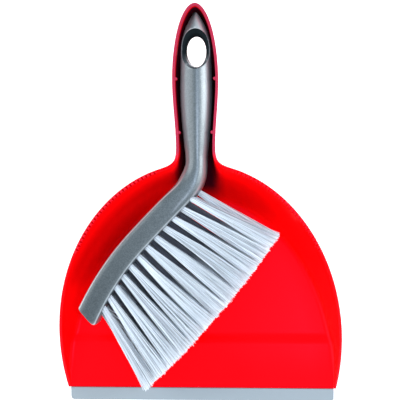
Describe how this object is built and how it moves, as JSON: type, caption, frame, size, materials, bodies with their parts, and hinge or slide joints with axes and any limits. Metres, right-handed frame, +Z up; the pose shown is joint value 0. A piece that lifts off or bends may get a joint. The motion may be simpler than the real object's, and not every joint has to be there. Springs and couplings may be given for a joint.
{
  "type": "dust pan and brush set",
  "caption": "Wide moulded dust pan with a soft front lip, combed back rim and trough handle, holding a curved hand brush with a hanging hole.",
  "frame": {"origin": "under the middle of the outline, on the surface the pan stands on", "axes": "+X to the right seen from above with the lip nearest, +Y from the lip to the handle's tip, +Z up"},
  "size_m": [0.236, 0.324, 0.072],
  "materials": {
    "pan_plastic": "satin-gloss moulded polypropylene",
    "lip_rubber": "soft matte thermoplastic rubber",
    "brush_plastic": "metallic-pigmented satin plastic",
    "bristle_filament": "fine drawn polyester filament"
  },
  "bodies": {
    "pan": {"pan_body": "pan_plastic", "rubber_lip": "lip_rubber"},
    "brush": {"brush_body": "brush_plastic", "tuft_upper_01": "bristle_filament", "tuft_upper_02": "bristle_filament", "tuft_upper_03": "bristle_filament", "tuft_upper_04": "bristle_filament", "tuft_upper_05": "bristle_filament", "tuft_upper_06": "bristle_filament", "tuft_upper_07": "bristle_filament", "tuft_upper_08": "bristle_filament", "tuft_upper_09": "bristle_filament", "tuft_upper_10": "bristle_filament", "tuft_upper_11": "bristle_filament", "tuft_upper_12": "bristle_filament", "tuft_middle_01": "bristle_filament", "tuft_middle_02": "bristle_filament", "tuft_middle_03": "bristle_filament", "tuft_middle_04": "bristle_filament", "tuft_middle_05": "bristle_filament", "tuft_middle_06": "bristle_filament", "tuft_middle_07": "bristle_filament", "tuft_middle_08": "bristle_filament", "tuft_middle_09": "bristle_filament", "tuft_middle_10": "bristle_filament", "tuft_middle_11": "bristle_filament", "tuft_middle_12": "bristle_filament", "tuft_middle_13": "bristle_filament", "tuft_lower_01": "bristle_filament", "tuft_lower_02": "bristle_filament", "tuft_lower_03": "bristle_filament", "tuft_lower_04": "bristle_filament", "tuft_lower_05": "bristle_filament", "tuft_lower_06": "bristle_filament", "tuft_lower_07": "bristle_filament", "tuft_lower_08": "bristle_filament", "tuft_lower_09": "bristle_filament", "tuft_lower_10": "bristle_filament", "tuft_lower_11": "bristle_filament", "tuft_lower_12": "bristle_filament"}
  },
  "joints": [
    {"name": "brush_lift", "type": "slide", "parent": "pan", "child": "brush", "axis": [0, -0.0958, 0.9954], "range_m": [0, 0.14]}
  ]
}
